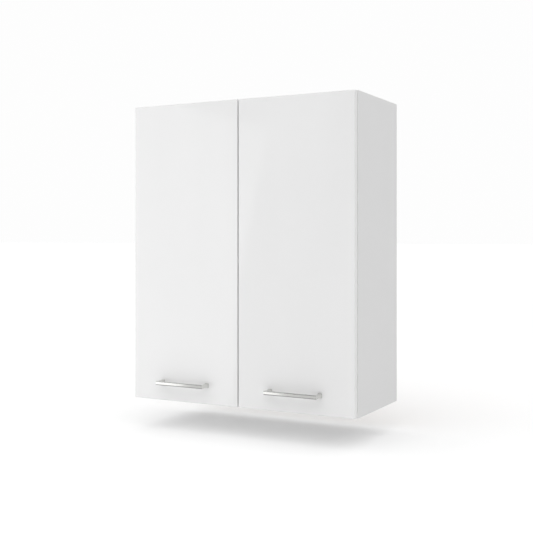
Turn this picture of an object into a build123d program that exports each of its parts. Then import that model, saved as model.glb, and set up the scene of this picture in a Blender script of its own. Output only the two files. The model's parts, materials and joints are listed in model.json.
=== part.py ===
from build123d import *
import os

# Hanging wall cabinet with two doors, two shelves and concealed wall hangers.
# Millimetres. The origin is on the wall plane, at the middle of the width, at the bottom edge.
# +X is to the right seen from the front, +Y goes into the wall, +Z is up, and the doors face -Y.

# ---- driving dimensions -------------------------------------------------------------------
cabinet_width = 600.0
cabinet_height = 736.0
cabinet_depth = 270.0        # wall to door front
panel_thickness = 16.0
edge_band_thickness = 1.0
edge_radius = 0.6            # eased front edges of panels and shelves

back_thickness = 3.0
back_setback = 18.0          # free space behind the back panel, for the wall plates
groove_depth = 8.0
groove_clearance = 0.2
groove_tip_clearance = 0.5

door_thickness = 16.0
door_gap = 2.0               # between the closed door and the carcass front
door_side_reveal = 0.5
door_end_reveal = 1.5        # at the top and at the bottom
door_centre_gap = 3.0
door_front_radius = 1.5
door_rear_radius = 1.0

# ---- 32 mm hole system --------------------------------------------------------------------
hole_pitch = 32.0
hole_radius = 2.5
hole_depth = 12.0
front_row = 37.0             # from the carcass front
rear_row_margin = 25.0       # least distance from the rear row to the back panel
adjust_steps = 2             # free holes above and below each shelf
hinge_end_steps = 3          # pitches from the carcass end to the nearest hinge screw

# ---- shelves ------------------------------------------------------------------------------
shelf_names = ("lower", "upper")
shelf_thickness = 16.0
shelf_end_clearance = 0.5
shelf_front_setback = 12.0
shelf_back_clearance = 2.0
pin_length = 17.0
pin_clearance = 0.05
pin_chamfer = 0.6
tip_clearance = 1.0          # free depth beyond the tip of a pin, dowel, bolt or screw

# ---- cams, bolts and dowels ---------------------------------------------------------------
cam_radius = 7.4
cam_below_bolt = 4.3         # cam depth below the bolt's line
cam_clearance = 0.1
cam_offset = 34.0            # from the panel end to the cam centre
cam_cap_radius = 8.5
cam_cap_thickness = 0.8
cam_slot_width = 7.6
cam_recess_width = 7.0
cam_recess_depth = 2.0
bolt_shank_radius = 2.2
bolt_head_radius = 3.4
bolt_head_length = 2.6
bolt_thread_length = 10.0
bolt_hole_radius = 3.6
dowel_radius = 4.0
dowel_length = 30.0
dowel_in_side = 10.0
dowel_clearance = 0.05
dowel_chamfer = 1.0

# ---- screw heads --------------------------------------------------------------------------
recess_share = 0.54          # cross recess width, as a share of the head's diameter
recess_depth = 1.4

# ---- hinges -------------------------------------------------------------------------------
cup_radius = 17.5
cup_depth = 12.5
cup_wall = 0.8
cup_edge_distance = 3.0      # door edge to cup bore
cup_fit = 0.1
flange_thickness = 1.0
flange_lip = 0.5
flange_length = 58.0
flange_width = 14.0
flange_offset = 9.5          # cup centre to the line of the cup screws
cup_screw_spacing = 45.0
cup_screw_radius = 1.75
cup_screw_length = 11.0
cup_screw_head_radius = 3.2
cup_screw_head_height = 0.7
axis_inset = 7.0             # hinge axis from the outer side plane
axis_depth = 9.0             # hinge axis into the door, from its rear face
hinge_pin_radius = 1.0
hinge_pin_clearance = 0.05
hinge_pin_press = 0.01       # pin in the cup's lugs
hinge_pin_half_length = 8.8
pin_lug_wall = 1.2           # cup metal around the hinge pin
pin_lug_clearance = 0.5      # lug to knuckle, along the axis
knuckle_radius = 2.0
knuckle_width = 7.0
arm_blade_above = 1.0        # blade surface beyond the axis, towards the door front
arm_blade_below = 1.0
neck_thickness = 4.0
swing_clearance = 1.6        # open door to hinge neck
plate_thickness = 2.0
plate_wing_width = 14.0
plate_wing_overhang = 7.0
wing_corner_share = 0.42     # wing corner radius, as a share of the wing's width
rail_width = 16.0
rail_edge_radius = 1.0
rail_front = 13.0            # from the carcass front
rail_length = 50.0
arm_wall = 1.8
arm_side_clearance = 0.2
arm_height = 11.0
arm_front = 8.0
arm_length = 58.0
arm_foot_clearance = 0.6     # arm to the plate's wings
arm_nose = 3.0               # solid metal at the front of the arm, where the neck starts
arm_corner_radius = 3.0
neck_bend_radius = 2.0
arm_screw_front = 7.0        # adjusting screw, from the front of the rail
arm_screw_rear = 9.0         # fixing screw, from the rear of the rail
arm_hole_clearance = 0.3
arm_screw_radius = 2.5
arm_screw_head_radius = 4.5
arm_screw_head_height = 2.2
plate_screw_head_radius = 4.2
plate_screw_head_height = 1.8

# ---- handles ------------------------------------------------------------------------------
handle_spacing = 128.0
handle_height_on_door = 45.5  # bar centre above the door's lower edge
handle_projection = 28.0
bar_height = 9.0
bar_depth = 8.0
bar_bulge = 2.2
bar_edge_radius = 0.8
post_width = 6.0
post_foot_width = 10.5
post_foot_height = 11.0
post_foot_thickness = 1.5
post_foot_corner = 1.5
post_foot_ledge = 0.5        # foot plate beyond the flared post, all round
post_bar_ledge = 0.3         # bar beyond the post, above and below
handle_screw_radius = 2.0
handle_screw_hole_radius = 2.5
handle_screw_depth = 9.0
handle_screw_head_radius = 4.0
handle_screw_head_height = 2.4
handle_screw_head_corner = 0.8
thread_clearance = 0.03

# ---- bumpers ------------------------------------------------------------------------------
bumper_radius = 4.0
bumper_thickness = 1.8
bumper_inset = 18.0          # from the door's closing edge

# ---- hangers and wall plates --------------------------------------------------------------
hanger_width = 17.5
hanger_depth = 46.0
hanger_height = 60.0
hanger_top_gap = 3.0
hanger_back_gap = 1.0
hanger_wall = 2.5
hanger_peg_radius = 5.0
hanger_peg_length = 9.0
hanger_peg_clearance = 0.05
cover_wall = 1.2
cover_clearance = 0.3
cover_hole_radius = 4.0
cover_corner_radius = 2.0
hanger_screw_radius = 3.0
hanger_screw_head_radius = 3.6
hanger_screw_head_height = 2.0
hanger_screw_length = 18.0
hanger_screw_heights = (10.0, 25.0)  # above the housing's lower edge
hook_thickness = 3.0
hook_arm_height = 12.0
hook_claw_width = 4.0
hook_claw_drop = 12.0
hook_heel_depth = 12.0
hook_clearance = 1.0
hook_corner_radius = 2.0
notch_width = 20.0
notch_height = 66.0
wall_plate_width = 60.0
wall_plate_thickness = 2.0
wall_plate_standoff = 10.0
wall_plate_lip = 16.0
wall_plate_flange = 32.0
wall_plate_side_gap = 3.0
wall_plate_hole_spacing = 32.0
wall_plate_hole_radius = 3.25

# ---- places worked out from the sizes above -----------------------------------------------
half_width = cabinet_width / 2
inner_half = half_width - panel_thickness
carcass_front = -(cabinet_depth - door_thickness - door_gap)
door_rear = carcass_front - door_gap
door_front = -cabinet_depth
back_rear = -back_setback
back_front = back_rear - back_thickness
front_row_y = carcass_front + front_row
rear_row_steps = int((back_front - rear_row_margin - front_row_y) // hole_pitch)
rear_row_y = front_row_y + rear_row_steps * hole_pitch
height_steps = int(cabinet_height // hole_pitch)
hinge_steps = {"lower": hinge_end_steps, "upper": height_steps - hinge_end_steps - 1}
shelf_steps = {
    name: round(height_steps * (place + 1) / (len(shelf_names) + 1))
    for place, name in enumerate(shelf_names)
}
door_low = door_end_reveal
door_high = cabinet_height - door_end_reveal
door_outer = half_width - door_side_reveal
door_inner = door_centre_gap / 2
handle_x = (door_outer + door_inner) / 2
handle_z = door_low + handle_height_on_door
rail_height = arm_height - arm_wall
arm_foot_x = inner_half - plate_thickness - arm_foot_clearance
cam_height = panel_thickness / 2 + cam_below_bolt
axis_x = half_width - axis_inset
axis_y = door_rear - axis_depth
cup_x = door_outer - cup_edge_distance - cup_radius
cup_floor_y = door_rear - cup_depth
hinge_heights = {level: (step + 0.5) * hole_pitch for level, step in hinge_steps.items()}
shelf_places = {level: step * hole_pitch for level, step in shelf_steps.items()}
joint_rows = (front_row_y, rear_row_y)
dowel_rows = (front_row_y + hole_pitch, rear_row_y - hole_pitch)
panel_levels = {"bottom": panel_thickness / 2, "top": cabinet_height - panel_thickness / 2}

centre = Align.CENTER
low = Align.MIN


def block(x, y, z):
    """A box from three (low, high) pairs."""
    size = [high - low_end for low_end, high in (x, y, z)]
    return Pos(x[0], y[0], z[0]) * Box(*size, align=(low, low, low))


def rod(radius, start, direction, length):
    """A round rod or drill, from a point along a direction."""
    return Plane(origin=start, z_dir=direction) * Cylinder(radius, length, align=(centre, centre, low))


def cross_cut(point, direction, width, depth):
    """A cross-shaped cut at a point of a top face, along the inward direction."""
    narrow = width / 4
    bars = Box(width, narrow, 2 * depth) + Box(narrow, width, 2 * depth)
    return Plane(origin=point, z_dir=direction) * bars


def cross_recess(point, direction, head_radius):
    """The driver's recess in a screw head."""
    return cross_cut(point, direction, 2 * head_radius * recess_share, recess_depth)


def to_left(solid):
    """The left-hand twin of a right-hand piece."""
    return mirror(solid, about=Plane.YZ)


def both_sides(solid):
    return [solid, to_left(solid)]


def joined(pieces):
    """Several separate solids as one node."""
    return Compound(children=list(pieces))


def front_edges(solid, y):
    """The edges that lie in the plane at this place along Y."""
    return solid.edges().filter_by_position(Axis.Y, y - 0.001, y + 0.001)


# ---- carcass ------------------------------------------------------------------------------
def hinge_screw_heights():
    return [step * hole_pitch for first in hinge_steps.values() for step in (first, first + 1)]


def shelf_hole_heights():
    reach = range(-adjust_steps, adjust_steps + 1)
    return [(step + move) * hole_pitch for step in shelf_steps.values() for move in reach]


def hanger_peg_places():
    middle_y = back_front - hanger_back_gap - hanger_depth / 2
    middle_z = hanger_top() - hanger_height / 2
    return [(middle_y, middle_z + side * hole_pitch / 2) for side in (-1, 1)]


def hanger_top():
    return cabinet_height - panel_thickness - hanger_top_gap


def side_panel():
    body_front = carcass_front + edge_band_thickness
    panel = block((inner_half, half_width), (body_front, 0), (0, cabinet_height))
    groove = block(
        (inner_half, inner_half + groove_depth),
        (back_front - groove_clearance, back_rear + groove_clearance),
        (0, cabinet_height))
    panel -= groove
    for z in hinge_screw_heights():
        panel -= rod(hole_radius, (inner_half, front_row_y, z), (1, 0, 0), hole_depth)
    for z in shelf_hole_heights():
        for y in (front_row_y, rear_row_y):
            panel -= rod(hole_radius, (inner_half, y, z), (1, 0, 0), hole_depth)
    for z in panel_levels.values():
        for y in joint_rows:
            panel -= rod(hole_radius, (inner_half, y, z), (1, 0, 0), bolt_thread_length + tip_clearance)
        for y in dowel_rows:
            panel -= rod(dowel_radius + dowel_clearance, (inner_half, y, z), (1, 0, 0),
                         dowel_in_side + tip_clearance)
    for y, z in hanger_peg_places():
        panel -= rod(hanger_peg_radius + hanger_peg_clearance, (inner_half, y, z), (1, 0, 0),
                     hanger_peg_length + tip_clearance)
    return panel


def cross_panel(level):
    """The top or the bottom, with its cam seats in the upper face."""
    z_low = panel_levels[level] - panel_thickness / 2
    z_high = z_low + panel_thickness
    panel = block((-inner_half, inner_half), (carcass_front + edge_band_thickness, 0), (z_low, z_high))
    inward = 1 if level == "bottom" else -1
    inner_face = z_high if level == "bottom" else z_low
    groove_z = sorted((inner_face, inner_face - inward * groove_depth))
    panel -= block(
        (-inner_half, inner_half),
        (back_front - groove_clearance, back_rear + groove_clearance),
        groove_z)
    cuts = []
    for y in joint_rows:
        cuts.append(rod(cam_radius + cam_clearance, (inner_half - cam_offset, y, z_high), (0, 0, -1),
                        cam_height + cam_clearance))
        cuts.append(rod(bolt_hole_radius, (inner_half, y, panel_levels[level]), (-1, 0, 0),
                        cam_offset + bolt_head_length))
    for y in dowel_rows:
        cuts.append(rod(dowel_radius + dowel_clearance, (inner_half, y, panel_levels[level]), (-1, 0, 0),
                        dowel_length - dowel_in_side + tip_clearance))
    for cut in cuts:
        for drill in both_sides(cut):
            panel -= drill
    return panel


def edge_band(x, z):
    """A thin plastic strip on a panel's front edge, eased at its two long corners."""
    strip = block(x, (carcass_front, carcass_front + edge_band_thickness), z)
    return fillet(front_edges(strip, carcass_front), edge_radius)


def back_panel():
    reach = inner_half + groove_depth - groove_tip_clearance
    z_low = panel_thickness - groove_depth + groove_tip_clearance
    panel = block((-reach, reach), (back_front, back_rear), (z_low, cabinet_height - z_low))
    notch = block(
        (inner_half - notch_width, half_width),
        (back_front - 1, back_rear + 1),
        (cabinet_height - panel_thickness - notch_height, cabinet_height))
    for cut in both_sides(notch):
        panel -= cut
    return panel


def shelf(level):
    z_low = shelf_places[level] + hole_radius - pin_clearance
    front = carcass_front + shelf_front_setback + edge_band_thickness
    return block(
        (-inner_half + shelf_end_clearance, inner_half - shelf_end_clearance),
        (front, back_front - shelf_back_clearance),
        (z_low, z_low + shelf_thickness))


def shelf_edge_band(level):
    z_low = shelf_places[level] + hole_radius - pin_clearance
    front = carcass_front + shelf_front_setback
    strip = block(
        (-inner_half + shelf_end_clearance, inner_half - shelf_end_clearance),
        (front, front + edge_band_thickness),
        (z_low, z_low + shelf_thickness))
    return fillet(front_edges(strip, front), edge_radius)


def shelf_pins():
    pins = []
    for z in shelf_places.values():
        for y in (front_row_y, rear_row_y):
            start = (inner_half + hole_depth - tip_clearance, y, z)
            pin = rod(hole_radius - pin_clearance, start, (-1, 0, 0), pin_length)
            pin = chamfer(pin.edges().filter_by(GeomType.CIRCLE), pin_chamfer)
            pins += both_sides(pin)
    return joined(pins)


# ---- cams, bolts, dowels ------------------------------------------------------------------
def cam_places():
    return [(inner_half - cam_offset, y, level + panel_thickness / 2)
            for level in panel_levels.values() for y in joint_rows]


def cam_housings():
    cams = []
    for x, y, z in cam_places():
        cam = rod(cam_radius, (x, y, z), (0, 0, -1), cam_height)
        cam -= block(
            (x - bolt_head_radius, x + cam_radius),
            (y - cam_slot_width / 2, y + cam_slot_width / 2),
            (z - cam_height, z - cam_height / 3))
        cam -= cross_cut((x, y, z), (0, 0, -1), cam_recess_width, cam_recess_depth)
        cams += both_sides(cam)
    return joined(cams)


def cam_caps():
    """Press-in covers, only on the bottom panel, where the cams would show."""
    caps = []
    for y in joint_rows:
        cap = rod(cam_cap_radius, (inner_half - cam_offset, y, panel_thickness), (0, 0, 1), cam_cap_thickness)
        cap = fillet(cap.edges().group_by(Axis.Z)[-1], cam_cap_thickness / 2)
        caps += both_sides(cap)
    return joined(caps)


def cam_bolts():
    bolts = []
    for z in panel_levels.values():
        for y in joint_rows:
            bolt = rod(hole_radius - pin_clearance, (inner_half + bolt_thread_length, y, z), (-1, 0, 0),
                       bolt_thread_length)
            bolt += rod(bolt_shank_radius, (inner_half, y, z), (-1, 0, 0), cam_offset - bolt_head_length / 2)
            bolt += rod(bolt_head_radius, (inner_half - cam_offset + bolt_head_length / 2, y, z), (-1, 0, 0),
                        bolt_head_length)
            bolts += both_sides(bolt)
    return joined(bolts)


def dowels():
    pegs = []
    for z in panel_levels.values():
        for y in dowel_rows:
            peg = rod(dowel_radius, (inner_half + dowel_in_side, y, z), (-1, 0, 0), dowel_length)
            peg = chamfer(peg.edges().filter_by(GeomType.CIRCLE), dowel_chamfer)
            pegs += both_sides(peg)
    return joined(pegs)


# ---- hinges, right-hand side --------------------------------------------------------------
def hinge_plate(z):
    """Cross plate screwed to the side panel, with the rail that carries the hinge arm."""
    wing_half = hole_pitch / 2 + plate_wing_overhang
    wings = block(
        (inner_half - plate_thickness, inner_half),
        (front_row_y - plate_wing_width / 2, front_row_y + plate_wing_width / 2),
        (z - wing_half, z + wing_half))
    wings = fillet(wings.edges().filter_by(Axis.X), plate_wing_width * wing_corner_share)
    rail = block(
        (inner_half - rail_height, inner_half),
        (carcass_front + rail_front, carcass_front + rail_front + rail_length),
        (z - rail_width / 2, z + rail_width / 2))
    rail = fillet(rail.edges().group_by(Axis.X)[0], rail_edge_radius)
    plate = wings + rail
    for side in (-1, 1):
        plate -= rod(hole_radius + pin_clearance, (inner_half, front_row_y, z + side * hole_pitch / 2),
                     (-1, 0, 0), plate_thickness)
    for y in arm_screw_places():
        plate -= rod(arm_screw_radius + thread_clearance, (inner_half - rail_height, y, z), (1, 0, 0),
                     rail_height)
    return plate


def plate_screws():
    screws = []
    for z in hinge_screw_heights():
        seat = inner_half - plate_thickness
        top = seat - plate_screw_head_height
        screw = rod(hole_radius - pin_clearance, (seat, front_row_y, z), (1, 0, 0),
                    plate_thickness + hole_depth - tip_clearance)
        screw += rod(plate_screw_head_radius, (top, front_row_y, z), (1, 0, 0), plate_screw_head_height)
        screw -= cross_recess((top, front_row_y, z), (1, 0, 0), plate_screw_head_radius)
        screws += both_sides(screw)
    return joined(screws)


def arm_screw_places():
    """The adjusting screw at the front of the arm and the fixing screw at its rear."""
    first = carcass_front + rail_front
    return (first + arm_screw_front, first + rail_length - arm_screw_rear)


def neck_outer():
    """Side of the hinge neck that faces the open door, measured as X."""
    swing = axis_x - axis_depth - flange_thickness - swing_clearance
    return min(swing, arm_foot_x)


def arm_top():
    return inner_half - arm_height


def hinge_arm(z):
    """Channel over the rail, with a neck that turns outwards into the cup and ends in a knuckle."""
    half = rail_width / 2 + arm_side_clearance + arm_wall
    y_front = carcass_front + arm_front
    y_rear = y_front + arm_length
    channel = block((arm_top(), arm_foot_x), (y_front, y_rear), (z - half, z + half))
    channel = fillet(channel.edges().filter_by(Axis.X), arm_corner_radius)
    channel = fillet(channel.edges().group_by(Axis.X)[0], rail_edge_radius)
    channel -= block(
        (arm_top() + arm_wall, inner_half),
        (y_front + arm_nose, y_rear - arm_wall),
        (z - half + arm_wall, z + half - arm_wall))
    blade_front = axis_y - arm_blade_above
    blade_rear = axis_y + arm_blade_below
    outer = neck_outer()
    inner = outer - neck_thickness
    outline = Polyline(
        (axis_x, blade_front), (inner, blade_front), (inner, y_front + arm_nose), (outer, y_front + arm_nose),
        (outer, blade_rear), (axis_x, blade_rear), close=True)
    neck = Pos(0, 0, z - knuckle_width / 2) * extrude(make_face(outline), knuckle_width)
    bend = neck.edges().filter_by(Axis.Z).filter_by_position(Axis.X, inner - 0.01, inner + 0.01)
    neck = fillet(bend.filter_by_position(Axis.Y, blade_front - 0.01, blade_front + 0.01), neck_bend_radius)
    gusset = block(
        (arm_top() + arm_wall / 2, outer),
        (y_front - arm_nose / 2, y_front + arm_nose),
        (z - rail_width / 2, z + rail_width / 2))
    knuckle = rod(knuckle_radius, (axis_x, axis_y, z - knuckle_width / 2), (0, 0, 1), knuckle_width)
    arm = channel + gusset + neck + knuckle
    arm -= rod(hinge_pin_radius + hinge_pin_clearance, (axis_x, axis_y, z - knuckle_width), (0, 0, 1),
               2 * knuckle_width)
    for y in arm_screw_places():
        arm -= rod(arm_screw_radius + arm_hole_clearance, (arm_top(), y, z), (1, 0, 0), arm_nose)
    return arm


def arm_screws():
    screws = []
    for z in hinge_heights.values():
        for y in arm_screw_places():
            screw = rod(arm_screw_radius, (arm_top(), y, z), (1, 0, 0), arm_height - tip_clearance)
            screw += rod(arm_screw_head_radius, (arm_top(), y, z), (-1, 0, 0), arm_screw_head_height)
            screw -= cross_recess((arm_top() - arm_screw_head_height, y, z), (1, 0, 0), arm_screw_head_radius)
            screws += both_sides(screw)
    return joined(screws)


def cup_screw_places(z):
    x = cup_x - flange_offset
    return [(x, z + side * cup_screw_spacing / 2) for side in (-1, 1)]


def hinge_cup(z):
    """Round cup let into the door, with its screw flange on the door's rear face."""
    body = rod(cup_radius, (cup_x, door_rear, z), (0, -1, 0), cup_depth)
    ring = rod(cup_radius + flange_lip, (cup_x, door_rear, z), (0, 1, 0), flange_thickness)
    wing_x = cup_x - flange_offset
    wings = block(
        (wing_x - flange_width / 2, wing_x + flange_width / 2),
        (door_rear, door_rear + flange_thickness),
        (z - flange_length / 2, z + flange_length / 2))
    wings = fillet(wings.edges().filter_by(Axis.Y), flange_width * wing_corner_share)
    cup = body + ring + wings
    cup -= rod(cup_radius - cup_wall, (cup_x, door_rear + flange_thickness, z), (0, -1, 0),
               cup_depth + flange_thickness - cup_wall)
    lug_reach = hinge_pin_radius + pin_lug_wall
    lugs = block(
        (axis_x - lug_reach, door_outer),
        (cup_floor_y, axis_y + lug_reach),
        (z - cup_radius, z + cup_radius))
    lugs -= block(
        (axis_x - lug_reach, door_outer),
        (cup_floor_y, axis_y + lug_reach),
        (z - knuckle_width / 2 - pin_lug_clearance, z + knuckle_width / 2 + pin_lug_clearance))
    cup += lugs & body
    cup -= rod(hinge_pin_radius + hinge_pin_press, (axis_x, axis_y, z - cup_radius), (0, 0, 1),
               2 * cup_radius)
    for x, place in cup_screw_places(z):
        cup -= rod(cup_screw_radius + pin_clearance, (x, door_rear, place), (0, 1, 0), flange_thickness)
    return cup


def cup_screws():
    screws = []
    for z in hinge_heights.values():
        for x, place in cup_screw_places(z):
            top = door_rear + flange_thickness
            screw = rod(cup_screw_radius, (x, top, place), (0, -1, 0), cup_screw_length)
            screw += rod(cup_screw_head_radius, (x, top, place), (0, 1, 0), cup_screw_head_height)
            screw -= cross_recess((x, top + cup_screw_head_height, place), (0, -1, 0), cup_screw_head_radius)
            screws.append(screw)
    return joined(screws)


def hinge_pins():
    return joined([
        rod(hinge_pin_radius, (axis_x, axis_y, z - hinge_pin_half_length), (0, 0, 1),
            2 * hinge_pin_half_length)
        for z in hinge_heights.values()])


# ---- door, right-hand side ----------------------------------------------------------------
def handle_screw_places():
    return [(handle_x + side * handle_spacing / 2, handle_z) for side in (-1, 1)]


def door():
    slab = block((door_inner, door_outer), (door_front, door_rear), (door_low, door_high))
    slab = fillet(front_edges(slab, door_front), door_front_radius)
    slab = fillet(front_edges(slab, door_rear), door_rear_radius)
    for z in hinge_heights.values():
        slab -= rod(cup_radius + cup_fit, (cup_x, door_rear, z), (0, -1, 0), cup_depth + cup_fit)
        for x, place in cup_screw_places(z):
            slab -= rod(cup_screw_radius + pin_clearance, (x, door_rear, place), (0, -1, 0),
                        cup_screw_length)
    for x, z in handle_screw_places():
        slab -= rod(handle_screw_hole_radius, (x, door_rear, z), (0, -1, 0), door_thickness)
    return slab


def bar_outline(x):
    """Section of the bar: flat behind, gently domed in front."""
    rear = door_front - handle_projection + bar_depth
    shoulder = door_front - handle_projection + bar_bulge
    tip = door_front - handle_projection
    half = bar_height / 2
    dome = ThreePointArc((x, shoulder, handle_z - half), (x, tip, handle_z), (x, shoulder, handle_z + half))
    sides = Polyline(
        (x, shoulder, handle_z + half), (x, rear, handle_z + half), (x, rear, handle_z - half),
        (x, shoulder, handle_z - half))
    return make_face([dome, sides])


def handle():
    length = handle_spacing + post_width
    start = handle_x - length / 2
    grip = extrude(bar_outline(start), length, dir=(1, 0, 0))
    grip = fillet(grip.edges().filter_by(Axis.X), bar_edge_radius)
    bar_rear = door_front - handle_projection + bar_depth
    flare_width = post_foot_width - 2 * post_foot_ledge
    flare_height = post_foot_height - 2 * post_foot_ledge
    for x, z in handle_screw_places():
        foot_plane = Plane(origin=(x, door_front - post_foot_thickness, z), z_dir=(0, -1, 0))
        bar_plane = Plane(origin=(x, bar_rear - 1, z), z_dir=(0, -1, 0))
        shank = loft([
            foot_plane * Rectangle(flare_width, flare_height),
            bar_plane * Rectangle(post_width, bar_height - 2 * post_bar_ledge)])
        foot = block(
            (x - post_foot_width / 2, x + post_foot_width / 2),
            (door_front - post_foot_thickness, door_front),
            (z - post_foot_height / 2, z + post_foot_height / 2))
        foot = fillet(foot.edges().filter_by(Axis.Y), post_foot_corner)
        grip += shank + foot
        grip -= rod(handle_screw_radius + thread_clearance, (x, door_front, z), (0, -1, 0),
                    handle_screw_depth + tip_clearance)
    return grip


def handle_screws():
    screws = []
    for x, z in handle_screw_places():
        screw = rod(handle_screw_radius, (x, door_rear, z), (0, -1, 0), door_thickness + handle_screw_depth)
        top = door_rear + handle_screw_head_height
        head = rod(handle_screw_head_radius, (x, door_rear, z), (0, 1, 0), handle_screw_head_height)
        head = fillet(head.edges().group_by(Axis.Y)[-1], handle_screw_head_corner)
        screw += head
        screw -= cross_recess((x, top, z), (0, -1, 0), handle_screw_head_radius)
        screws.append(screw)
    return joined(screws)


def bumpers():
    """Soft dots that meet the front edges of the top and bottom panels."""
    dots = []
    for z in panel_levels.values():
        dot = rod(bumper_radius, (door_inner + bumper_inset, door_rear, z), (0, 1, 0), bumper_thickness)
        dots.append(fillet(dot.edges().group_by(Axis.Y)[-1], bumper_thickness / 2))
    return joined(dots)


# ---- hangers and wall plates, right-hand side ---------------------------------------------
def hanger_box():
    x = (inner_half - hanger_width, inner_half)
    rear = back_front - hanger_back_gap
    y = (rear - hanger_depth, rear)
    z = (hanger_top() - hanger_height, hanger_top())
    return x, y, z


def hook_levels():
    """Heights of the hook's arm: its underside rests on the wall plate's lip."""
    x, y, z = hanger_box()
    arm_low = z[1] - hanger_wall - hook_clearance - hook_arm_height
    return arm_low, arm_low + hook_arm_height


def hook_x():
    x, y, z = hanger_box()
    middle = (x[0] + x[1]) / 2
    return middle - hook_thickness / 2, middle + hook_thickness / 2


def hanger_housing():
    x, y, z = hanger_box()
    housing = block(x, y, z)
    housing -= block(
        (x[0] + hanger_wall, x[1] - hanger_wall),
        (y[0] + 2 * hanger_wall, y[1] + 1),
        (z[0] + hanger_wall, z[1] - hanger_wall))
    for peg_y, peg_z in hanger_peg_places():
        housing += rod(hanger_peg_radius, (x[1], peg_y, peg_z), (1, 0, 0), hanger_peg_length)
    for screw_z in hanger_screw_levels():
        housing -= rod(hanger_screw_radius + thread_clearance, (sum(x) / 2, y[0] - 1, screw_z), (0, 1, 0),
                       4 * hanger_wall)
    return housing


def hanger_screw_levels():
    x, y, z = hanger_box()
    return [z[0] + height for height in hanger_screw_heights]


def hanger_screws():
    screws = []
    x, y, z = hanger_box()
    for screw_z in hanger_screw_levels():
        front = (sum(x) / 2, y[0], screw_z)
        screw = rod(hanger_screw_radius, front, (0, 1, 0), hanger_screw_length)
        screw += rod(hanger_screw_head_radius, front, (0, -1, 0), hanger_screw_head_height)
        tip = (sum(x) / 2, y[0] - hanger_screw_head_height, screw_z)
        screw -= cross_recess(tip, (0, 1, 0), hanger_screw_head_radius)
        screws += both_sides(screw)
    return joined(screws)


def hanger_cover():
    """White cap over the housing, open towards the side panel and the back."""
    x, y, z = hanger_box()
    gap = cover_clearance
    front_gap = hanger_screw_head_height + gap
    cover = block(
        (x[0] - gap - cover_wall, x[1]),
        (y[0] - front_gap - cover_wall, y[1]),
        (z[0] - gap - cover_wall, z[1] + gap + cover_wall))
    cover = fillet(cover.edges().filter_by(Axis.X).group_by(Axis.Y)[0], cover_corner_radius)
    cover -= block(
        (x[0] - gap, x[1] + 1),
        (y[0] - front_gap, y[1] + 1),
        (z[0] - gap, z[1] + gap))
    for screw_z in hanger_screw_levels():
        cover -= rod(cover_hole_radius, (sum(x) / 2, y[0] - front_gap - cover_wall - 1, screw_z), (0, 1, 0),
                     cover_wall + 2)
    return cover


def hanger_hook():
    """Steel hook that reaches through the back and drops its claw behind the wall plate's lip."""
    x_low, x_high = hook_x()
    arm_low, arm_high = hook_levels()
    x, y, z = hanger_box()
    arm_front = y[0] + 2 * hanger_wall + hook_clearance
    claw_front = -wall_plate_standoff + hook_clearance
    claw_rear = claw_front + hook_claw_width
    arm = block((x_low, x_high), (arm_front, claw_rear), (arm_low, arm_high))
    claw = block((x_low, x_high), (claw_front, claw_rear), (arm_low - hook_claw_drop, arm_high))
    heel_low = max(hanger_screw_levels()) + hanger_screw_radius + hook_clearance
    heel = block((x_low, x_high), (arm_front, arm_front + hook_heel_depth), (heel_low, arm_high))
    hook = arm + claw + heel
    return fillet(hook.edges().filter_by(Axis.X).group_by(Axis.Z)[-1], hook_corner_radius)


def wall_plate():
    """Zed-shaped steel plate: screwed flange below, standing lip above."""
    arm_low, arm_high = hook_levels()
    x = (inner_half - wall_plate_side_gap - wall_plate_width, inner_half - wall_plate_side_gap)
    lip_low = arm_low - wall_plate_lip
    lip_front = -wall_plate_standoff - wall_plate_thickness
    lip = block(x, (lip_front, -wall_plate_standoff), (lip_low, arm_low))
    web = block(x, (lip_front, 0), (lip_low - wall_plate_thickness, lip_low))
    flange_low = lip_low - wall_plate_thickness - wall_plate_flange
    flange = block(x, (-wall_plate_thickness, 0), (flange_low, lip_low - wall_plate_thickness))
    plate = lip + web + flange
    for hole_x in wall_plate_hole_places():
        plate -= rod(wall_plate_hole_radius, (hole_x, -wall_plate_thickness, wall_plate_hole_z()), (0, 1, 0),
                     wall_plate_thickness)
    return plate


def wall_plate_hole_places():
    middle = inner_half - wall_plate_side_gap - wall_plate_width / 2
    return [middle + side * wall_plate_hole_spacing / 2 for side in (-1, 1)]


def wall_plate_hole_z():
    arm_low, arm_high = hook_levels()
    return arm_low - wall_plate_lip - wall_plate_thickness - wall_plate_flange / 2


# ---- all nodes ----------------------------------------------------------------------------
def carcass_nodes():
    right_side = side_panel()
    nodes = {
        "side_panel_right": right_side,
        "side_panel_left": to_left(right_side),
        "top_panel": cross_panel("top"),
        "bottom_panel": cross_panel("bottom"),
        "back_panel": back_panel(),
        "shelf_pins": shelf_pins(),
        "cam_housings": cam_housings(),
        "cam_caps": cam_caps(),
        "cam_bolts": cam_bolts(),
        "dowels": dowels(),
    }
    for level in shelf_places:
        nodes["shelf_" + level] = shelf(level)
        nodes["edge_band_shelf_" + level] = shelf_edge_band(level)
    side_band = edge_band((inner_half, half_width), (0, cabinet_height))
    nodes["edge_band_side_right"] = side_band
    nodes["edge_band_side_left"] = to_left(side_band)
    for level, middle in panel_levels.items():
        span = (middle - panel_thickness / 2, middle + panel_thickness / 2)
        nodes["edge_band_" + level] = edge_band((-inner_half, inner_half), span)
    return nodes


def hinge_nodes():
    nodes = {"hinge_plate_screws": plate_screws(), "hinge_arm_screws": arm_screws()}
    for level, z in hinge_heights.items():
        pieces = {"hinge_plate": hinge_plate(z), "hinge_arm": hinge_arm(z), "hinge_cup": hinge_cup(z)}
        for name, solid in pieces.items():
            nodes[name + "_right_" + level] = solid
            nodes[name + "_left_" + level] = to_left(solid)
    return nodes


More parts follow.
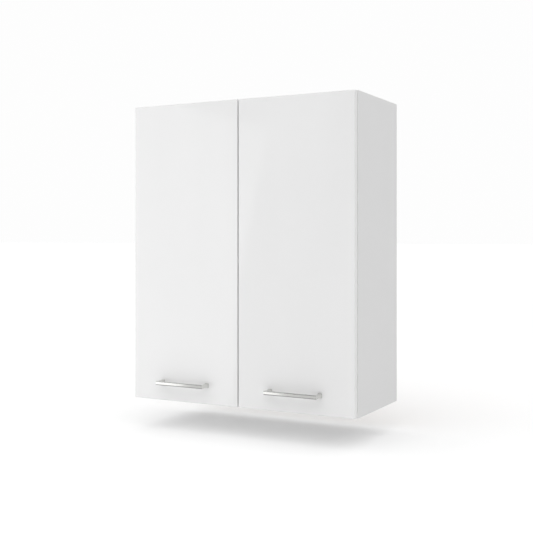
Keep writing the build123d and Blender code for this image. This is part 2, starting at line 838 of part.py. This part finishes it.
def door_nodes():
    pieces = {
        "door": door(),
        "handle": handle(),
        "handle_screws": handle_screws(),
        "hinge_cup_screws": cup_screws(),
        "hinge_pins": hinge_pins(),
        "door_bumpers": bumpers(),
    }
    nodes = {}
    for name, solid in pieces.items():
        nodes[name + "_right"] = solid
        nodes[name + "_left"] = to_left(solid)
    return nodes


def hanger_nodes():
    pieces = {
        "hanger_housing": hanger_housing(),
        "hanger_cover": hanger_cover(),
        "hanger_hook": hanger_hook(),
        "wall_plate": wall_plate(),
    }
    nodes = {"hanger_screws": hanger_screws()}
    for name, solid in pieces.items():
        nodes[name + "_right"] = solid
        nodes[name + "_left"] = to_left(solid)
    return nodes


def main():
    os.makedirs("parts", exist_ok=True)
    nodes = {**carcass_nodes(), **hinge_nodes(), **door_nodes(), **hanger_nodes()}
    for name, solid in nodes.items():
        export_step(solid, "parts/" + name + ".step")
    print(len(nodes), "nodes")


main()
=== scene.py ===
# Hanging wall cabinet: finishes, fine pieces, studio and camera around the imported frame.
import bpy
import bmesh
import json
import math
from mathutils import Matrix, Vector


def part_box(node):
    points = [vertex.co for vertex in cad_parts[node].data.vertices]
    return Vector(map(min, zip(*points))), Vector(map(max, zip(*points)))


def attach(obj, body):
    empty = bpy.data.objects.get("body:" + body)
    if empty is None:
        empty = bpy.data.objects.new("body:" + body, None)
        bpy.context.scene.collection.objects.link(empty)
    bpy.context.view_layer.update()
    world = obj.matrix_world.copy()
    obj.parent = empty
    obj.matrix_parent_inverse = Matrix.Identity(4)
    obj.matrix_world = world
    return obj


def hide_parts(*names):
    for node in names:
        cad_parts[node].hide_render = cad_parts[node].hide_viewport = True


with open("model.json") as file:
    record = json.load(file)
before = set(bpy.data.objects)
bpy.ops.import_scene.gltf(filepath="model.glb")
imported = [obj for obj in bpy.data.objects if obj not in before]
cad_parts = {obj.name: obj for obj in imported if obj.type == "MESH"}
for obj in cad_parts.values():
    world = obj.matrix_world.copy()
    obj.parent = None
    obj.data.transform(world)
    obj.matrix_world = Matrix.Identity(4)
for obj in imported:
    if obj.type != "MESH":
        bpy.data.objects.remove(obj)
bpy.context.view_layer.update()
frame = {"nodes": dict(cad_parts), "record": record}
nodes = frame["nodes"]
mm = 0.001
white = (1, 1, 1, 1)


def toLinear(hexColour):
    # sRGB hex to the linear values that the shaders use
    parts = [int(hexColour[i:i + 2], 16) / 255 for i in (1, 3, 5)]
    return [c / 12.92 if c <= 0.04045 else ((c + 0.055) / 1.055) ** 2.4 for c in parts] + [1.0]


def feed(tree, node, inputs):
    # each value is a number, a colour or the output of another node
    for name, value in inputs.items():
        if isinstance(value, bpy.types.NodeSocket):
            tree.links.new(value, node.inputs[name])
        else:
            node.inputs[name].default_value = value


def addNode(tree, kind, inputs=None, output=0, **settings):
    # gives one output of the new node, or all of them for output=None
    node = tree.nodes.new("ShaderNode" + kind)
    for name, value in settings.items():
        setattr(node, name, value)
    feed(tree, node, inputs or {})
    return node.outputs[output] if node.outputs and output is not None else node.outputs


def startMaterial(name, **sockets):
    # shader sockets are named with _ for a space; place is the object's own coordinates in metres
    material = bpy.data.materials.new(name)
    material.use_nodes = True
    tree = material.node_tree
    shader = tree.nodes["Principled BSDF"]
    feed(tree, shader, {key.replace("_", " "): value for key, value in sockets.items()})
    return material, tree, shader, addNode(tree, "TexCoord", output="Object")


def perMetre(*lengths):
    # how often a pattern of this size in metres repeats in a metre along X, Y and Z
    return [1 / length for length in lengths]


foil = {
    "front": "#f4f4f4",
    "frontDeeper": "#f2f2f2",
    "rear": "#efefed",
    "frontRoughness": 0.03,
    "rearRoughness": 0.42,
    "toneSize": (160 * mm, 200 * mm, 420 * mm),
    "peelSize": 9 * mm,
    "peelHeight": 0.0012 * mm,
    "pressSize": (150 * mm, 400 * mm, 420 * mm),
    "pressHeight": 0.12 * mm,
    "leftTilt": 0.7,  # degrees of lean about the vertical; -0.7 shows the softbox's edge on that door
    "rearFaceDepth": 0.8 * mm,
}


def glossFoilOnMdf():
    # MDF with a vacuum-pressed high-gloss foil: a mirror-like white whose reflections bend a little
    # where the press left the face uneven, with satin melamine on the rear face
    material, tree, shader, place = startMaterial("glossFoilOnMdf", IOR=1.5)
    axes = addNode(tree, "SeparateXYZ", {"Vector": place}, output=None)
    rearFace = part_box("door_left")[1][1] - foil["rearFaceDepth"]
    rear = addNode(tree, "Math", {0: axes["Y"], 1: rearFace}, operation="GREATER_THAN")
    roughness = addNode(tree, "MapRange", {
        "Value": rear, "To Min": foil["frontRoughness"], "To Max": foil["rearRoughness"]})
    toneWhere = addNode(tree, "Mapping", {"Vector": place, "Scale": perMetre(*foil["toneSize"])})
    tone = addNode(tree, "TexNoise", {"Vector": toneWhere, "Scale": 1.0, "Detail": 1.0})
    toneShare = addNode(tree, "MapRange", {"Value": tone, "From Min": 0.35, "From Max": 0.65})
    front = addNode(tree, "Mix", {
        0: toneShare, 6: toLinear(foil["front"]), 7: toLinear(foil["frontDeeper"])}, 2, data_type="RGBA")
    colour = addNode(tree, "Mix", {0: rear, 6: front, 7: toLinear(foil["rear"])}, 2, data_type="RGBA")
    # orange peel of the foil, the slow waves of the press, and the lean of the left door
    peel = addNode(tree, "TexNoise", {"Vector": place, "Scale": 1 / foil["peelSize"]})
    pressWhere = addNode(tree, "Mapping", {"Vector": place, "Scale": perMetre(*foil["pressSize"])})
    press = addNode(tree, "TexNoise", {"Vector": pressWhere, "Scale": 1.0, "Detail": 1.0})
    leftX = addNode(tree, "Math", {0: axes["X"], 1: 0.0}, operation="MINIMUM")
    height = addNode(tree, "Math", {0: leftX, 1: math.tan(math.radians(foil["leftTilt"])), 2: 0.0},
                     operation="MULTIPLY_ADD")
    for waves, size in ((peel, foil["peelHeight"]), (press, foil["pressHeight"])):
        height = addNode(tree, "Math", {0: waves, 1: size, 2: height}, operation="MULTIPLY_ADD")
    normal = addNode(tree, "Bump", {"Height": height, "Distance": 1.0})
    feed(tree, shader, {"Base Color": colour, "Roughness": roughness, "Normal": normal})
    return material


board = {
    "face": "#ebebeb",
    "faceDeeper": "#e9e9e9",
    "chip": "#c9a877",
    "chipDark": "#8d6c45",
    "chipPale": "#e3cda2",
    "skin": 0.15 * mm,
    "toneSize": 90 * mm,
    "grainSize": 1.2 * mm,  # pearl emboss, drawn coarser than the real 0.3 mm so that it shows
    "grainHeight": 0.006 * mm,
    "chipSize": 2.6 * mm,
    "chipHeight": 0.25 * mm,
    "fibreSize": (0.9 * mm, 0.5 * mm, 0.5 * mm),
    "faceRoughness": 0.36,
    "coreRoughness": 0.9,
}


def melamineFacedChipboard(node, thinAxis, bandedEnds=False):
    # white melamine paper pressed on chipboard: satin with a faint pearl grain on the faces, and
    # tan chips with dark gaps on the cut edges, grooves and drillings
    material, tree, shader, place = startMaterial("melamineFacedChipboard_" + node, IOR=1.5)
    axes = addNode(tree, "SeparateXYZ", {"Vector": place}, output=None)
    low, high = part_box(node)
    # raw is 1 on the cut core between two foil faces and 0 on the foils themselves
    raw = 1.0
    for axis in (thinAxis, "Z") if bandedEnds else (thinAxis,):
        index = "XYZ".index(axis)
        middle = (low[index] + high[index]) / 2
        half = (high[index] - low[index]) / 2 - board["skin"]
        between = addNode(tree, "Math", {0: axes[axis], 1: middle, 2: half}, operation="COMPARE")
        raw = addNode(tree, "Math", {0: between, 1: raw}, operation="MULTIPLY")
    tone = addNode(tree, "TexNoise", {"Vector": place, "Scale": 1 / board["toneSize"], "Detail": 3.0})
    face = addNode(tree, "Mix", {
        0: tone, 6: toLinear(board["face"]), 7: toLinear(board["faceDeeper"])}, 2, data_type="RGBA")
    chipWhere = addNode(tree, "Mapping", {
        "Vector": place, "Scale": perMetre(board["chipSize"] * 1.6, board["chipSize"], board["chipSize"])})
    chips = addNode(tree, "TexVoronoi", {"Vector": chipWhere, "Scale": 1.0}, output=None)
    chipTone = addNode(tree, "SeparateColor", {"Color": chips["Color"]})
    core = addNode(tree, "Mix", {
        0: chipTone, 6: toLinear(board["chipDark"]), 7: toLinear(board["chipPale"])}, 2, data_type="RGBA")
    fibreWhere = addNode(tree, "Mapping", {"Vector": place, "Scale": perMetre(*board["fibreSize"])})
    fibres = addNode(tree, "TexNoise", {"Vector": fibreWhere, "Scale": 1.0, "Detail": 4.0})
    core = addNode(tree, "Mix", {0: fibres, 6: core, 7: toLinear(board["chip"])}, 2, data_type="RGBA")
    colour = addNode(tree, "Mix", {0: raw, 6: face, 7: core}, 2, data_type="RGBA")
    roughness = addNode(tree, "MapRange", {
        "Value": raw, "To Min": board["faceRoughness"], "To Max": board["coreRoughness"]})
    chipHeight = addNode(tree, "Math", {0: chips["Distance"], 1: board["chipHeight"]}, operation="MULTIPLY")
    chipHeight = addNode(tree, "Math", {0: chipHeight, 1: raw}, operation="MULTIPLY")
    grain = addNode(tree, "TexNoise", {"Vector": place, "Scale": 1 / board["grainSize"], "Detail": 1.0})
    height = addNode(tree, "Math", {0: grain, 1: board["grainHeight"], 2: chipHeight},
                     operation="MULTIPLY_ADD")
    normal = addNode(tree, "Bump", {"Height": height, "Distance": 1.0})
    feed(tree, shader, {"Base Color": colour, "Roughness": roughness, "Normal": normal})
    return material


hardboard = {
    "lacquer": "#eeeeeb",
    "fibre": "#8a6845",
    "fibreDark": "#6b4d31",
    "clumpSize": 7 * mm,
    "screenPitch": 2.4 * mm,  # wire screen print, drawn coarser than the real 1.5 mm so that it shows
    "screenDepth": 0.08 * mm,
    "lacquerDepth": 0.1 * mm,
    "frontRoughness": 0.38,
    "rearRoughness": 0.85,
}


def lacqueredHardboard():
    # wet-process hardboard: white lacquer in front, brown fibre with a wire-screen print behind
    material, tree, shader, place = startMaterial("lacqueredHardboard", IOR=1.5)
    axes = addNode(tree, "SeparateXYZ", {"Vector": place}, output=None)
    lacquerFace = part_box("back_panel")[0][1] + hardboard["lacquerDepth"]
    brown = addNode(tree, "Math", {0: axes["Y"], 1: lacquerFace}, operation="GREATER_THAN")
    clumps = addNode(tree, "TexNoise", {"Vector": place, "Scale": 1 / hardboard["clumpSize"], "Detail": 6.0})
    clumpShare = addNode(tree, "MapRange", {"Value": clumps, "From Min": 0.3, "From Max": 0.7})
    fibre = addNode(tree, "Mix", {0: clumpShare, 6: toLinear(hardboard["fibreDark"]),
                                  7: toLinear(hardboard["fibre"])}, 2, data_type="RGBA")
    colour = addNode(tree, "Mix", {0: brown, 6: toLinear(hardboard["lacquer"]), 7: fibre}, 2,
                     data_type="RGBA")
    roughness = addNode(tree, "MapRange", {
        "Value": brown, "To Min": hardboard["frontRoughness"], "To Max": hardboard["rearRoughness"]})
    height = addNode(tree, "Math", {0: brown, 1: hardboard["screenDepth"]}, operation="MULTIPLY")
    for axis in "XZ":
        turn = addNode(tree, "Math", {0: axes[axis], 1: 2 * math.pi / hardboard["screenPitch"]},
                       operation="MULTIPLY")
        wave = addNode(tree, "Math", {0: turn}, operation="SINE")
        height = addNode(tree, "Math", {0: height, 1: wave}, operation="MULTIPLY")
    normal = addNode(tree, "Bump", {"Height": height, "Distance": 1.0})
    feed(tree, shader, {"Base Color": colour, "Roughness": roughness, "Normal": normal})
    return material


nickel = {
    "colour": "#dbdbd8",
    "colourBright": "#e8e8e6",
    "lineSize": (45 * mm, 0.5 * mm, 0.5 * mm),  # coarser than the real 0.1 mm grit so that it shows
    "lineHeight": 0.004 * mm,
    "roughness": (0.2, 0.3),
}


def brushedNickel():
    # zinc handle, nickel plated and brushed along the bar: grey satin whose highlight spreads
    # across the brush lines and stays sharp along them
    material, tree, shader, place = startMaterial("brushedNickel", Metallic=1.0, Anisotropic=0.6)
    where = addNode(tree, "Mapping", {"Vector": place, "Scale": perMetre(*nickel["lineSize"])})
    lines = addNode(tree, "TexNoise", {"Vector": where, "Scale": 1.0, "Detail": 3.0})
    colour = addNode(tree, "Mix", {0: lines, 6: toLinear(nickel["colour"]),
                                   7: toLinear(nickel["colourBright"])}, 2, data_type="RGBA")
    roughness = addNode(tree, "MapRange", {
        "Value": lines, "To Min": nickel["roughness"][0], "To Max": nickel["roughness"][1]})
    around = addNode(tree, "Tangent", direction_type="RADIAL", axis="X")
    height = addNode(tree, "Math", {0: lines, 1: nickel["lineHeight"]}, operation="MULTIPLY")
    normal = addNode(tree, "Bump", {"Height": height, "Distance": 1.0})
    feed(tree, shader, {"Base Color": colour, "Roughness": roughness, "Tangent": around, "Normal": normal})
    return material


# each plain finish blends its two colours with one noise, whose grain is size long along X, Y and Z;
# the same noise sets the roughness between its two values and raises a bump of this height
plainFinishes = {
    # pressed steel, nickel plated: bright and slightly warm, with soft press marks in the gloss
    "nickelPlatedSteel": {
        "colours": ("#d2cec6", "#dedbd5"), "size": (6 * mm, 6 * mm, 6 * mm), "detail": 4.0,
        "roughness": (0.14, 0.28), "bump": 0.01 * mm, "sockets": {"Metallic": 1.0}},
    # raw zinc casting: dull blue grey with a sandy skin
    "zincDieCasting": {
        "colours": ("#9fa3a6", "#b6babd"), "size": (1.2 * mm, 1.2 * mm, 1.2 * mm), "detail": 5.0,
        "roughness": (0.42, 0.62), "bump": 0.03 * mm, "sockets": {"Metallic": 1.0}},
    # bright zinc-plated screw: bluish silver, a little cloudy, with a faint straw tint in places
    "zincPlatedSteel": {
        "colours": ("#c3c7ca", "#d3d0c4"), "size": (2.5 * mm, 2.5 * mm, 2.5 * mm), "detail": 4.0,
        "roughness": (0.24, 0.4), "bump": 0.008 * mm, "sockets": {"Metallic": 1.0}},
    # extruded ABS edging: a little glossier than the boards, with long faint drawing lines
    "extrudedAbsEdgeBand": {
        "colours": ("#f1f1ef", "#eeeeec"), "size": (0.8 * mm, 0.8 * mm, 60 * mm), "detail": 2.0,
        "roughness": (0.28, 0.32), "bump": 0.004 * mm, "sockets": {"IOR": 1.53}},
    # injection-moulded ABS with an eroded mould skin: soft sheen, fine even texture
    "mouldedWhiteAbs": {
        "colours": ("#eeeeec", "#f2f2f0"), "size": (0.7 * mm, 0.7 * mm, 0.7 * mm), "detail": 2.0,
        "roughness": (0.38, 0.46), "bump": 0.012 * mm, "sockets": {"IOR": 1.53}},
    # cast soft polyurethane dot: clear and slightly cloudy, with a skin that is not quite smooth
    "castClearPolyurethane": {
        "colours": ("#eef1ee", "#fafbfa"), "size": (1.5 * mm, 1.5 * mm, 1.5 * mm), "detail": 2.0,
        "roughness": (0.14, 0.18), "bump": 0.01 * mm, "sockets": {"IOR": 1.5, "Transmission Weight": 0.8}},
    # turned and fluted beech dowel: pinkish tan with short dark ray flecks along its length
    "flutedBeech": {
        "colours": ("#a97f55", "#d3ab7c"), "size": (9 * mm, 1.1 * mm, 1.1 * mm), "detail": 5.0,
        "roughness": (0.55, 0.65), "bump": 0.05 * mm, "sockets": {"IOR": 1.5}},
}


def plainFinish(name):
    finish = plainFinishes[name]
    material, tree, shader, place = startMaterial(name, **finish["sockets"])
    where = addNode(tree, "Mapping", {"Vector": place, "Scale": perMetre(*finish["size"])})
    grain = addNode(tree, "TexNoise", {"Vector": where, "Scale": 1.0, "Detail": finish["detail"]})
    share = addNode(tree, "MapRange", {"Value": grain, "From Min": 0.3, "From Max": 0.7})
    first, second = (toLinear(colour) for colour in finish["colours"])
    colour = addNode(tree, "Mix", {0: share, 6: first, 7: second}, 2, data_type="RGBA")
    roughness = addNode(tree, "MapRange", {
        "Value": grain, "To Min": finish["roughness"][0], "To Max": finish["roughness"][1]})
    height = addNode(tree, "Math", {0: grain, 1: finish["bump"]}, operation="MULTIPLY")
    normal = addNode(tree, "Bump", {"Height": height, "Distance": 1.0})
    feed(tree, shader, {"Base Color": colour, "Roughness": roughness, "Normal": normal})
    return material


galvanised = {
    "crystal": "#a9adaf",
    "crystalBright": "#c6cacb",
    "crystalSize": 5 * mm,
    "crystalHeight": 0.01 * mm,
    "roughness": (0.3, 0.52),
}


def galvanisedSteel():
    # hot-dip galvanised strip: crystals a few millimetres wide that each catch the light apart
    material, tree, shader, place = startMaterial("galvanisedSteel", Metallic=1.0)
    crystals = addNode(tree, "TexVoronoi", {"Vector": place, "Scale": 1 / galvanised["crystalSize"]},
                       output=None)
    tone = addNode(tree, "SeparateColor", {"Color": crystals["Color"]})
    colour = addNode(tree, "Mix", {0: tone, 6: toLinear(galvanised["crystal"]),
                                   7: toLinear(galvanised["crystalBright"])}, 2, data_type="RGBA")
    roughness = addNode(tree, "MapRange", {
        "Value": tone, "To Min": galvanised["roughness"][0], "To Max": galvanised["roughness"][1]})
    height = addNode(tree, "Math", {0: crystals["Distance"], 1: galvanised["crystalHeight"]},
                     operation="MULTIPLY")
    normal = addNode(tree, "Bump", {"Height": height, "Distance": 1.0})
    feed(tree, shader, {"Base Color": colour, "Roughness": roughness, "Normal": normal})
    return material


def finishNodes():
    # boards get a material each, because the foil faces lie at different places
    sideBoards = ("side_panel_left", "side_panel_right")
    levelBoards = ("top_panel", "bottom_panel", "shelf_lower", "shelf_upper")
    finishes = {
        "gloss_front": glossFoilOnMdf(),
        "back_board": lacqueredHardboard(),
        "brushed_nickel": brushedNickel(),
        "galvanised_steel": galvanisedSteel(),
        "edge_band": plainFinish("extrudedAbsEdgeBand"),
        "nickel_plate": plainFinish("nickelPlatedSteel"),
        "zinc_casting": plainFinish("zincDieCasting"),
        "zinc_screw": plainFinish("zincPlatedSteel"),
        "white_plastic": plainFinish("mouldedWhiteAbs"),
        "clear_bumper": plainFinish("castClearPolyurethane"),
        "beech": plainFinish("flutedBeech"),
    }
    boards = {name: melamineFacedChipboard(name, "X", bandedEnds=True) for name in sideBoards}
    boards.update({name: melamineFacedChipboard(name, "Z") for name in levelBoards})
    slotOf = {part["node"]: part["material_slot"] for part in frame["record"]["subparts"]}
    for name, piece in nodes.items():
        piece.data.materials.clear()
        piece.data.materials.append(boards[name] if name in boards else finishes[slotOf[name]])
    return finishes


finishes = finishNodes()
print("finishes on", len(nodes), "nodes")


grip = {
    "barHeight": 9 * mm,
    "barDepth": 8 * mm,
    "frontRadius": 2.2 * mm,
    "frontSegments": 6,
    "rearRadius": 0.9 * mm,
    "rearSegments": 3,
    "endEase": 0.35 * mm,
    "endSegments": 2,
    "postWidth": 6 * mm,
    "postHeight": 8.6 * mm,
    "postCorner": 1.1 * mm,
    "postCornerSegments": 4,
    "postInBar": 1 * mm,  # how far the post runs into the bar, so that no gap shows
    "footWidth": 10.5 * mm,
    "footHeight": 11 * mm,
    "footThickness": 1.5 * mm,
    "footStep": 1 * mm,  # how much the flare stays narrower than the foot's rim
    "flareSteps": 8,
    "flarePower": 2.4,
    "smoothAngle": 35,
}


def asObject(name, mesh, material):
    bmesh.ops.recalc_face_normals(mesh, faces=mesh.faces)
    for face in mesh.faces:
        face.smooth = True
    sharpest = math.radians(grip["smoothAngle"])
    for edge in mesh.edges:
        edge.smooth = len(edge.link_faces) == 2 and edge.calc_face_angle(0) < sharpest
    data = bpy.data.meshes.new(name)
    mesh.to_mesh(data)
    mesh.free()
    data.materials.append(material)
    piece = bpy.data.objects.new(name, data)
    bpy.context.scene.collection.objects.link(piece)
    return piece


def addBlock(mesh, size, centre):
    made = bmesh.ops.create_cube(mesh, size=1)["verts"]
    bmesh.ops.scale(mesh, verts=made, vec=size)
    bmesh.ops.translate(mesh, verts=made, vec=centre)
    return made


def bevelEdges(mesh, edges, offset, segments):
    bmesh.ops.bevel(mesh, geom=edges, offset=offset, segments=segments, profile=0.5,
                    affect="EDGES", material=-1)


def edgesOf(verts):
    return list({edge for vert in verts for edge in vert.link_edges})


def alongX(edge):
    return abs((edge.verts[0].co - edge.verts[1].co).normalized().x) > 0.99


def makeBar(mesh, length, centre):
    verts = addBlock(mesh, (length, grip["barDepth"], grip["barHeight"]), centre)
    long = [edge for edge in edgesOf(verts) if alongX(edge)]
    front = [edge for edge in long if edge.verts[0].co.y < centre[1]]
    rear = [edge for edge in long if edge.verts[0].co.y > centre[1]]
    bevelEdges(mesh, front, grip["frontRadius"], grip["frontSegments"])
    bevelEdges(mesh, rear, grip["rearRadius"], grip["rearSegments"])
    tiny = 0.001 * mm
    ends = [edge for edge in mesh.edges
            if all(abs(abs(vert.co.x - centre[0]) - length / 2) < tiny for vert in edge.verts)]
    bevelEdges(mesh, ends, grip["endEase"], grip["endSegments"])


def makePost(mesh, x, z, barRear, doorFace):
    # a rounded rectangle drawn out towards the door, wider and taller at each step
    start = barRear - grip["postInBar"]
    square = bmesh.ops.create_grid(mesh, x_segments=1, y_segments=1, size=0.5)["verts"]
    bmesh.ops.rotate(mesh, verts=square, matrix=Matrix.Rotation(math.radians(90), 3, "X"))
    bmesh.ops.scale(mesh, verts=square, vec=(grip["postWidth"], 1, grip["postHeight"]))
    bmesh.ops.translate(mesh, verts=square, vec=(x, start, z))
    rounded = bmesh.ops.bevel(mesh, geom=square, offset=grip["postCorner"],
                              segments=grip["postCornerSegments"], profile=0.5,
                              affect="VERTICES", material=-1)
    face = rounded["verts"][0].link_faces[0]
    width, height, y = grip["postWidth"], grip["postHeight"], start
    footRear = doorFace - grip["footThickness"]
    widening = grip["footWidth"] - grip["footStep"] - width
    heightening = grip["footHeight"] - grip["footStep"] - height
    stations = []
    for step in range(1, grip["flareSteps"] + 1):
        share = step / grip["flareSteps"]
        flare = share ** grip["flarePower"]
        stations.append((start + (footRear - start) * share, width + widening * flare,
                         height + heightening * flare))
    stations.append((footRear, grip["footWidth"], grip["footHeight"]))
    stations.append((doorFace, grip["footWidth"], grip["footHeight"]))
    startCap = face
    for nextY, nextWidth, nextHeight in stations:
        grown = bmesh.ops.extrude_face_region(mesh, geom=[face])["geom"]
        if face is not startCap:
            bmesh.ops.delete(mesh, geom=[face], context="FACES_ONLY")  # no wall left inside the post
        face = [item for item in grown if isinstance(item, bmesh.types.BMFace)][0]
        shift = Matrix.Translation((-x, 0, -z))
        bmesh.ops.translate(mesh, verts=face.verts, vec=(0, nextY - y, 0))
        bmesh.ops.scale(mesh, verts=face.verts, vec=(nextWidth / width, 1, nextHeight / height),
                        space=shift)
        width, height, y = nextWidth, nextHeight, nextY


def makeGrip(side):
    low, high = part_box("handle_" + side)
    centreX = (low[0] + high[0]) / 2
    centreZ = (low[2] + high[2]) / 2
    spacing = high[0] - low[0] - grip["footWidth"]
    barRear = low[1] + grip["barDepth"]
    mesh = bmesh.new()
    makeBar(mesh, spacing + grip["postWidth"], (centreX, low[1] + grip["barDepth"] / 2, centreZ))
    for end in (-1, 1):
        makePost(mesh, centreX + end * spacing / 2, centreZ, barRear, high[1])
    piece = asObject("grip_" + side, mesh, finishes["brushed_nickel"])
    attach(piece, side + "_door")
    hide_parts("handle_" + side)


for side in ("left", "right"):
    makeGrip(side)
print("grips done")


studio = {
    "floorBelow": 72 * mm,
    "floorHalfSize": 60,
    "floorColour": 0.80,
    "floorGlow": 0.22,
    "background": 0.985,
    "overheadStrength": 3.22,
    "overheadSpread": 110,
    "overheadDirection": (-0.07, 0.14, -1),
    "softboxCorner": (-1.176, -2.646, 0.983),
    "softboxLean": 12.4,
    "softboxLength": 2.35,
    "softboxHeight": 1.55,
    "softboxWatts": 8.4,
    "mirrorFront": 0.77,
    "mirrorAbove": 0.2,
    "cardsTop": 0.35,  # sine of the height at which the bright cards end, and of where grey begins
    "cardsFade": 0.65,
}


def makeFloor():
    mesh = bmesh.new()
    bmesh.ops.create_grid(mesh, x_segments=1, y_segments=1, size=studio["floorHalfSize"])
    bmesh.ops.translate(mesh, verts=mesh.verts, vec=(0, 0, -studio["floorBelow"]))
    data = bpy.data.meshes.new("floor")
    mesh.to_mesh(data)
    mesh.free()
    # matt paper sheet: even and pale, with a weak glow that keeps the shadow on it pale too
    material, tree, shader, place = startMaterial("mattePaperFloor", Roughness=1.0)
    feed(tree, shader, {
        "Base Color": (studio["floorColour"],) * 3 + (1,), "Specular IOR Level": 0.0,
        "Emission Color": white, "Emission Strength": studio["floorGlow"]})
    data.materials.append(material)
    floor = bpy.data.objects.new("floor", data)
    bpy.context.scene.collection.objects.link(floor)
    floor.visible_glossy = False


def makeWorld():
    # the camera sees plain white, and gloss reflects a band of bright cards around the horizon that
    # falls to grey above and below; the world doesn't light the matt surfaces, the two lights do
    world = bpy.data.worlds.new("studioWorld")
    world.use_nodes = True
    bpy.context.scene.world = world
    tree = world.node_tree
    tree.nodes.clear()
    rays = addNode(tree, "LightPath", output=None)
    direction = addNode(tree, "TexCoord", output="Generated")
    height = addNode(tree, "SeparateXYZ", {"Vector": direction}, output="Z")
    steepness = addNode(tree, "Math", {0: height}, operation="ABSOLUTE")
    cards = addNode(tree, "MapRange", {
        "Value": steepness, "From Min": studio["cardsTop"], "From Max": studio["cardsFade"],
        "To Min": studio["mirrorFront"], "To Max": studio["mirrorAbove"]})
    seen = addNode(tree, "Background", {"Color": white, "Strength": studio["background"]})
    mirrored = addNode(tree, "Background", {"Color": white, "Strength": cards})
    lit = addNode(tree, "MixShader", {0: rays["Is Glossy Ray"], 2: mirrored})
    everything = addNode(tree, "MixShader", {0: rays["Is Camera Ray"], 1: lit, 2: seen})
    addNode(tree, "OutputWorld", {"Surface": everything})


def addLight(name, kind, energy, place, direction):
    light = bpy.data.lights.new(name, kind)
    light.energy = energy
    lamp = bpy.data.objects.new(name, light)
    lamp.location = place
    lamp.rotation_euler = Vector(direction).to_track_quat("-Z", "Y").to_euler()
    bpy.context.scene.collection.objects.link(lamp)
    return lamp


def makeLights():
    overhead = addLight(
        "overheadLight", "SUN", studio["overheadStrength"], (0, 0, 3), studio["overheadDirection"])
    overhead.data.angle = math.radians(studio["overheadSpread"])
    overhead.visible_glossy = False
    # a long softbox stands left of the doors and leans over them; its top right corner is given
    lean = math.radians(studio["softboxLean"])
    facing = Vector((math.cos(lean), 0, -math.sin(lean)))
    down = Vector((-math.sin(lean), 0, -math.cos(lean)))
    towardsWall = Vector((0, 1, 0))
    centre = Vector(studio["softboxCorner"])
    centre += towardsWall * studio["softboxLength"] / 2 + down * studio["softboxHeight"] / 2
    softbox = addLight("softbox", "AREA", studio["softboxWatts"], centre, facing)
    softbox.data.shape = "RECTANGLE"
    softbox.data.size = studio["softboxLength"]
    softbox.data.size_y = studio["softboxHeight"]


makeFloor()
makeWorld()
makeLights()

view = {
    "lens": 61.1,
    "sensorWidth": 36,
    "shift": -0.0547,
    "farthest": 200,
    "place": (1.071, -2.136, 0.406),
    "turn": (90, 0, 28.04),
}


def makeCamera():
    data = bpy.data.cameras.new("camera")
    data.lens = view["lens"]
    data.sensor_width = view["sensorWidth"]
    data.shift_y = view["shift"]
    data.clip_end = view["farthest"]
    camera = bpy.data.objects.new("camera", data)
    camera.location = view["place"]
    camera.rotation_euler = [math.radians(angle) for angle in view["turn"]]
    bpy.context.scene.collection.objects.link(camera)
    bpy.context.scene.camera = camera
    bpy.context.scene.view_settings.view_transform = "Standard"


makeCamera()
print("studio and camera done")
